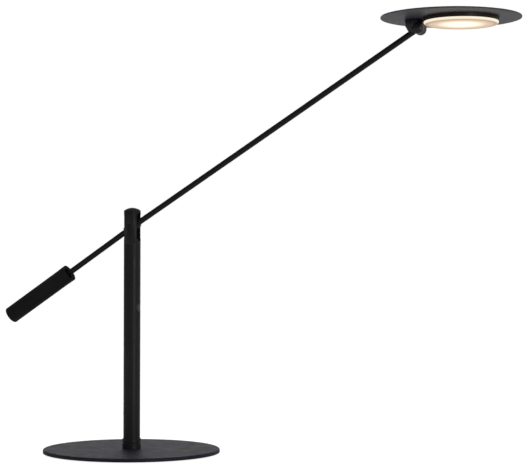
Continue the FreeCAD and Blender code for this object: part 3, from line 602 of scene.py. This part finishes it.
post_head = round_stock("post_fork", POST_R, SEAM_Z, SHOULDER_Z, sides=128)
crown_r = (POST_R ** 2 + CROWN_RISE ** 2) / (2 * CROWN_RISE)
pick(post_head, "FACE", end_face("z", SHOULDER_Z))
for step in range(CROWN_STEPS - 1):
    outer = POST_R * (1 - step / CROWN_STEPS)
    inner = POST_R * (1 - (step + 1) / CROWN_STEPS)
    rise = math.sqrt(crown_r ** 2 - inner ** 2) - math.sqrt(crown_r ** 2 - outer ** 2)
    inset(outer - inner, rise)
bpy.ops.mesh.poke(offset=inner ** 2 / (2 * crown_r) * MM)
slot_mill = block("slot_mill", (SLOT_LENGTH, SLOT_HALF * 2, SLOT_TOP - SLOT_BOTTOM),
                  (0, 0, (SLOT_TOP + SLOT_BOTTOM) / 2))
pick(slot_mill, "EDGE", lambda edge: abs(edge.verts[0].co.x - edge.verts[1].co.x) > 10 * MM)
bevel(SLOT_HALF - SLOT_FLAT, steps=14)
carve(post_head, slot_mill)
carve(post_head, round_stock("bore", PIN_BORE_R, -12, 12, z=PIVOT_Z, along="y", sides=64))
carve(post_head, round_stock("wire_bore", WIRE_BORE_R, SEAM_Z - 1, SLOT_BOTTOM + 3, sides=48))
for start, end in ((-12, -CHEEK_SEAT), (CHEEK_SEAT, 12)):
    carve(post_head, round_stock("seat", SEAT_R, start, end, z=PIVOT_Z, along="y", sides=64))
break_edges(post_head, FORK_BREAK)
fit(post_head, post_coat, "post", "black_steel", "post_head")
dress(acetal, "pivot_bushes", "hinge_washers")

# Pivot: a steel pin through the hub, held from both sides by a flat screw sunk into each cheek.
# The screws are blackened, with a six-sided key hole and a turned chamfer.
# The pin and the grub screw that holds it in the hub are zinc plated.
HEAD_R = 3.1
HEAD_H = 0.9
HEAD_FROM = 8.3


def key_screw(name, radius, height, key_r, key_h, chamfer):
    """Screw head on the origin, top upwards, with a chamfered rim and a six-sided key hole."""
    screw = round_stock(name, radius, 0, height, sides=64)
    pick(screw, "EDGE", rim("z", height))
    bevel(chamfer, steps=2)
    pick(screw, "FACE", end_face("z", height))
    inset(chamfer / 2)
    carve(screw, round_stock("key", key_r, height - key_h, height + 1, sides=6))
    break_edges(screw, 0.06, steps=1)
    return screw


def place_by(piece, matrix):
    """Moves a finished piece to its place, and the move into its mesh."""
    piece.matrix_world = matrix
    return settle(piece)


def blackened(name, rough):
    """Blackened steel fastener: oily black with turned rings that catch the light."""
    material, tree, shader, place = shade(name, rough, metal=0.7)
    patches = clouds(tree, place, size=1.5)
    tint(tree, shader, patches, dark=(0.018, 0.018, 0.02), light=(0.035, 0.035, 0.038))
    rings = clouds(tree, place, size=0.12, detail=2.0)
    emboss(tree, shader, rings, strength=0.35, depth=0.02)
    vary_gloss(tree, shader, clouds(tree, place, size=0.8), rough - 0.08, rough + 0.08)
    return material


screw_black = blackened("screw_black", rough=0.35)
for name, side, stands_for in (("pivot_screw_front", -1, ()),
                               ("pivot_screw_back", 1, ("pivot_screws",))):
    screw = key_screw(name, HEAD_R, HEAD_H, key_r=1.25, key_h=0.6, chamfer=0.2)
    outwards = Matrix.Rotation(math.radians(-90 * side), 4, "X")
    place_by(screw, Matrix.Translation(Vector((0, HEAD_FROM * side, PIVOT_Z)) * MM) @ outwards)
    fit(screw, screw_black, "arm", "black_screw", *stands_for)
dress(zinc, "pivot_pin", "hub_grub")

# Arm: two rods of 6.4 mm that meet in a hub, a tube with the lead inside towards the head
# and a solid bar towards the weight. Both are drawn steel, coated like the post.
rod_coat = powder_coat(
    "rod_coat", (0.0065, 0.0065, 0.0067), (0.0090, 0.0090, 0.0093), rough=0.40, specular=0.24)
dress(rod_coat, "pivot_hub", "front_rod", "rear_rod", "rod_end")

# Counterweight: a bar of black-painted steel, drilled for the rod and dished around it, its rims
# rounded and its outer end turned out a little in the middle.
# A small screw with a key hole, low on its near side, clamps it to the rod.
TAIL_RISE = 33.8
WEIGHT_R = 9.7
WEIGHT_FROM = 96.5
WEIGHT_TO = 184.2
WEIGHT_RIM = 1.2
WEIGHT_BORDER = 0.15
SPOT_BORDER = 6.5
SPOT_SLOPE = 0.4
SPOT_DEPTH = 0.25
DISH_OUT = 6.5
DISH_H = 2.5
ROD_HOLE_R = 3.25
ROD_HOLE_H = 8
GRUB_AT = WEIGHT_TO - 26
GRUB_HOLE_R = 2.1
GRUB_FOOT = 6.5
tail = (Matrix.Translation((0, 0, PIVOT_Z * MM))
        @ Matrix.Rotation(math.radians(-90 - TAIL_RISE), 4, "Y"))
grub_turn = Matrix.Rotation(math.radians(-35), 4, "Z")
weight = round_stock("counterweight_bar", WEIGHT_R, WEIGHT_FROM, WEIGHT_TO, sides=128)
for level in (WEIGHT_FROM, WEIGHT_TO):
    pick(weight, "EDGE", rim("z", level))
    bevel(WEIGHT_RIM, steps=6)
    pick(weight, "FACE", end_face("z", level))
    inset(WEIGHT_BORDER)
inset(SPOT_BORDER)
inset(SPOT_SLOPE, -SPOT_DEPTH)
pick(weight, "FACE", end_face("z", WEIGHT_FROM))
inset(WEIGHT_R - WEIGHT_RIM - WEIGHT_BORDER - DISH_OUT)
inset(DISH_OUT - ROD_HOLE_R, -DISH_H)
inset(0.02, -ROD_HOLE_H)
grub_hole = round_stock(
    "grub_hole", GRUB_HOLE_R, -WEIGHT_R - 1, -6, z=GRUB_AT, along="y", sides=48)
carve(weight, place_by(grub_hole, grub_turn))
finish_edit(weight)
place_by(weight, tail)
weight_paint = powder_coat(
    "weight_paint", (0.0085, 0.0085, 0.0085), (0.0115, 0.0115, 0.0115), rough=0.6, specular=0.12)
fit(weight, weight_paint, "arm", "matte_black_steel", "counterweight")
grub = key_screw("weight_grub", 2.0, 2.6, key_r=1.1, key_h=1.5, chamfer=0.25)
outwards = Matrix.Rotation(math.radians(90), 4, "X")
place_by(grub, Matrix.Translation((0, -GRUB_FOOT * MM, GRUB_AT * MM)) @ outwards)
place_by(grub, tail @ grub_turn)
fit(grub, screw_black, "arm", "black_screw", "weight_screw")

# Clevis: an upright boss under the shade with a cross barrel, milled from one bar of aluminium,
# slotted for the eye of the rod and anodised black. The foot of the boss tapers and the near end
# of the barrel is domed. The hinge screw goes in from the far side.
HINGE_X = 331.96
HINGE_Z = 467.53
BOSS_X = HINGE_X - 5.4
BOSS_R = 9.5
BOSS_FOOT = HINGE_Z - 5.0
BOSS_SHOULDER = BOSS_FOOT + 7.5
BOSS_TAPER = 3.9
BARREL_R = 6.5
BARREL_HALF = 9.7
BARREL_DOME = 7.6
DOME_STEPS = 8
DOME_STEP = 0.7
DOME_RISE = 0.58
DOME_FALL = 0.075
FORK_HALF = 3.8
FORK_LENGTH = 38
FORK_HEIGHT = 30
FORK_ROOF = HINGE_Z + 7.1
SCREW_SEAT_R = 3.35
SCREW_SEAT_H = 1.55
CLEVIS_BREAK = 0.25
DISC_BOTTOM = HINGE_Z + 9.2
SEAM = 0.05
clevis = round_stock("clevis_boss", BOSS_R, BOSS_FOOT, DISC_BOTTOM - SEAM, x=BOSS_X, sides=96)
pick(clevis, "FACE", lambda face: True)
bpy.ops.mesh.bisect(plane_co=(0, 0, BOSS_SHOULDER * MM), plane_no=(0, 0, 1))
pick(clevis, "VERT", lambda point: abs(point.co.z - BOSS_FOOT * MM) < CLOSE)
narrow = (BOSS_R - BOSS_TAPER) / BOSS_R
bpy.ops.transform.resize(
    value=(narrow, narrow, 1), center_override=(BOSS_X * MM, 0, BOSS_FOOT * MM))
barrel = round_stock(
    "barrel", BARREL_R, -BARREL_DOME, BARREL_HALF, x=HINGE_X, z=HINGE_Z, along="y", sides=96)
pick(barrel, "FACE", end_face("y", -BARREL_DOME))
for step in range(DOME_STEPS):
    inset(DOME_STEP, DOME_RISE - DOME_FALL * step)
carve(clevis, barrel, "UNION")
carve(clevis, block("fork_mill", (FORK_LENGTH, FORK_HALF * 2, FORK_HEIGHT),
                    (BOSS_X, 0, FORK_ROOF - FORK_HEIGHT / 2)))
carve(clevis, round_stock("head_seat", SCREW_SEAT_R, BARREL_HALF - SCREW_SEAT_H, 12,
                          x=HINGE_X, z=HINGE_Z, along="y", sides=48))
break_edges(clevis, CLEVIS_BREAK)


def anodised(name, dark, light, rough, specular=0.5):
    """Bead-blasted aluminium, anodised: very fine even grit under a slightly cloudy dye."""
    material, tree, shader, place = shade(name, rough, specular)
    tint(tree, shader, clouds(tree, place, size=18), dark, light)
    grit = clouds(tree, place, size=0.25, detail=2.0)
    emboss(tree, shader, grit, strength=0.3, depth=0.02)
    vary_gloss(tree, shader, clouds(tree, place, size=5), rough - 0.04, rough + 0.04)
    return material


clevis_black = anodised(
    "clevis_black", (0.009, 0.007, 0.011), (0.013, 0.010, 0.016), rough=0.34, specular=0.42)
fit(clevis, clevis_black, "head", "black_aluminium", "head_clevis")
dress(screw_black, "hinge_screw")

# Shade: a flat disc of 1.5 mm aluminium, spun to a true circle with its edge rounded, and
# anodised black; its lighter, bluer grey is painted light from the white table below.
# Two countersunk screws, sunk flush into its top, hold it on the clevis.
SHADE_R = 75
SHADE_X = HINGE_X + 35.2
SHADE_TOP = DISC_BOTTOM + 1.5
SHADE_ROUND = 0.4
SHADE_BORDER = 0.2
SCREW_AT = 6.0
SINK_R = 2.75
SINK_H = 1
SCREW_SUNK = 0.95
shade_disc = round_stock("shade_plate", SHADE_R, DISC_BOTTOM, SHADE_TOP, x=SHADE_X, sides=256)
for level in (DISC_BOTTOM, SHADE_TOP):
    pick(shade_disc, "EDGE", rim("z", level))
    bevel(SHADE_ROUND, steps=3)
for level in (DISC_BOTTOM, SHADE_TOP):
    pick(shade_disc, "FACE", end_face("z", level))
    inset(SHADE_BORDER)
for name, y, stands_for in (("shade_screw_right", -SCREW_AT, ()),
                            ("shade_screw_left", SCREW_AT, ("clevis_screws",))):
    carve(shade_disc, round_stock(
        "sink", SINK_R, SHADE_TOP - SINK_H, SHADE_TOP + 1, x=BOSS_X, y=y, sides=48))
    screw = key_screw(name, 2.6, 0.9, key_r=1.0, key_h=0.6, chamfer=0.12)
    place_by(screw, Matrix.Translation(Vector((BOSS_X, y, SHADE_TOP - SCREW_SUNK)) * MM))
    fit(screw, screw_black, "head", "black_screw", *stands_for)
finish_edit(shade_disc)
# The lighter, bluer grey of the shade is painted light, the bounce from the table.
shade_lit_grey = anodised("shade_lit_grey", (0.034, 0.034, 0.045), (0.042, 0.042, 0.054), rough=0.42)
fit(shade_disc, shade_lit_grey, "head", "black_aluminium", "shade_disc")

# Light module: a shallow turned cup under the shade, black outside, closed by an opal dish that
# is moulded with a soft shoulder and glows warm white, whitest over the rings of light chips.
# Inside are the chips on their board, the white sheet around them and the nuts of the cup.
MODULE_X = HINGE_X + 46.2
CUP_R = 40
CUP_BOTTOM = DISC_BOTTOM - 4.1
CUP_WALL = 1.5
CUP_BREAK = 0.25
CUP_DEPTH = 3.2
OPAL_R = 39.5
OPAL_BOTTOM = CUP_BOTTOM - 3.1
OPAL_SHOULDER = 2.2
OPAL_BORDER = 0.3
STEP_AT = 8.0
STEP_SLOPE = 0.4
STEP_DEPTH = 0.05
OPAL_FIELD = 12.0
cup = round_stock("module_cup", CUP_R, CUP_BOTTOM, DISC_BOTTOM - SEAM, x=MODULE_X, sides=192)
pick(cup, "EDGE", rim("z", CUP_BOTTOM))
bevel(CUP_BREAK, steps=2)
pick(cup, "FACE", end_face("z", CUP_BOTTOM))
inset(CUP_WALL - CUP_BREAK)
inset(0.01, -CUP_DEPTH)
finish_edit(cup)
# The brown in the cup's tint is a painted warm cast of the glow of the opal dish.
cup_black = anodised(
    "cup_black", (0.011, 0.007, 0.004), (0.015, 0.010, 0.006), rough=0.45, specular=0.3)
fit(cup, cup_black, "head", "black_aluminium", "led_housing")
opal = round_stock("opal_dish", OPAL_R, OPAL_BOTTOM, CUP_BOTTOM - SEAM, x=MODULE_X, sides=192)
pick(opal, "EDGE", rim("z", OPAL_BOTTOM))
bevel(OPAL_SHOULDER, steps=8)
pick(opal, "FACE", end_face("z", OPAL_BOTTOM))
inset(OPAL_BORDER)
inset(STEP_AT)
inset(STEP_SLOPE, -STEP_DEPTH)
inset(OPAL_FIELD)
finish_edit(opal)

OPAL_GLOW = 0.95
OPAL_BODY = (0.12, 0.11, 0.10)
OPAL_SIDE = (1.0, 0.88, 0.68)
OPAL_UNDER = (
    (0.0, (1.0, 0.98, 0.88)), (0.36, (1.0, 0.98, 0.86)), (0.5, (1.0, 0.87, 0.62)),
    (0.7, (0.72, 0.50, 0.33)), (0.85, (0.60, 0.42, 0.29)), (0.9, (0.42, 0.30, 0.21)),
    (0.94, (0.38, 0.27, 0.19)), (1.0, (0.60, 0.46, 0.36)))
SIDE_ENDS = -0.6
UNDER_STARTS = -0.95


def blend_tones(tree, pattern, tones):
    """A ramp through several tones, each at its own place between 0 and 1."""
    ramp = node(tree, "ValToRGB", {"Fac": pattern})
    stops = ramp.color_ramp.elements
    stops[0].color = (*tones[0][1], 1)
    stops[-1].color = (*tones[-1][1], 1)
    for at, tone in tones[1:-1]:
        stops.new(at).color = (*tone, 1)
    return ramp.outputs["Color"]


def opal_light(name, glow):
    """Opal plastic lit from inside: white in the middle, tanned outwards, warm at its side."""
    material, tree, shader, place = shade(name, roughness=0.4, specular=0.4)
    centred = node(tree, "Mapping", {"Vector": place, "Location": (-MODULE_X * MM, 0, 0)})
    flat = node(tree, "VectorMath", {0: centred.outputs["Vector"], 1: (1, 1, 0)},
                operation="MULTIPLY")
    reach = node(tree, "VectorMath", {0: flat.outputs["Vector"]}, operation="LENGTH")
    across = node(tree, "MapRange", {"Value": reach.outputs["Value"], "From Max": OPAL_R * MM})
    under = blend_tones(tree, across.outputs["Result"], OPAL_UNDER)
    normal = node(tree, "SeparateXYZ", {"Vector": node(tree, "TexCoord").outputs["Normal"]})
    down = node(tree, "MapRange", {
        "Value": normal.outputs["Z"], "From Min": SIDE_ENDS, "From Max": UNDER_STARTS})
    mixed = node(tree, "Mix", {
        "Factor": down.outputs["Result"], "A": (*OPAL_SIDE, 1), "B": under}, data_type="RGBA")
    tree.links.new(mixed.outputs["Result"], shader.inputs["Emission Color"])
    shader.inputs["Emission Strength"].default_value = glow
    shader.inputs["Base Color"].default_value = (*OPAL_BODY, 1)
    grain = clouds(tree, place, size=0.3, detail=2.0)
    emboss(tree, shader, grain, strength=0.3, depth=0.02)
    return material


fit(opal, opal_light("opal_lit", OPAL_GLOW), "head", "diffuser_plastic", "diffuser")
phosphor = moulded_plastic("phosphor", (0.85, 0.62, 0.12), (0.95, 0.78, 0.30), rough=0.3)
white_sheet = moulded_plastic(
    "white_sheet_plastic", (0.86, 0.86, 0.84), (0.92, 0.92, 0.90), rough=0.5)
dress(board("white_board", (0.78, 0.78, 0.76), (0.86, 0.86, 0.84)), "led_board")
dress(phosphor, "led_chips")
dress(white_sheet, "reflector_sheet")
dress(zinc, "module_nuts")
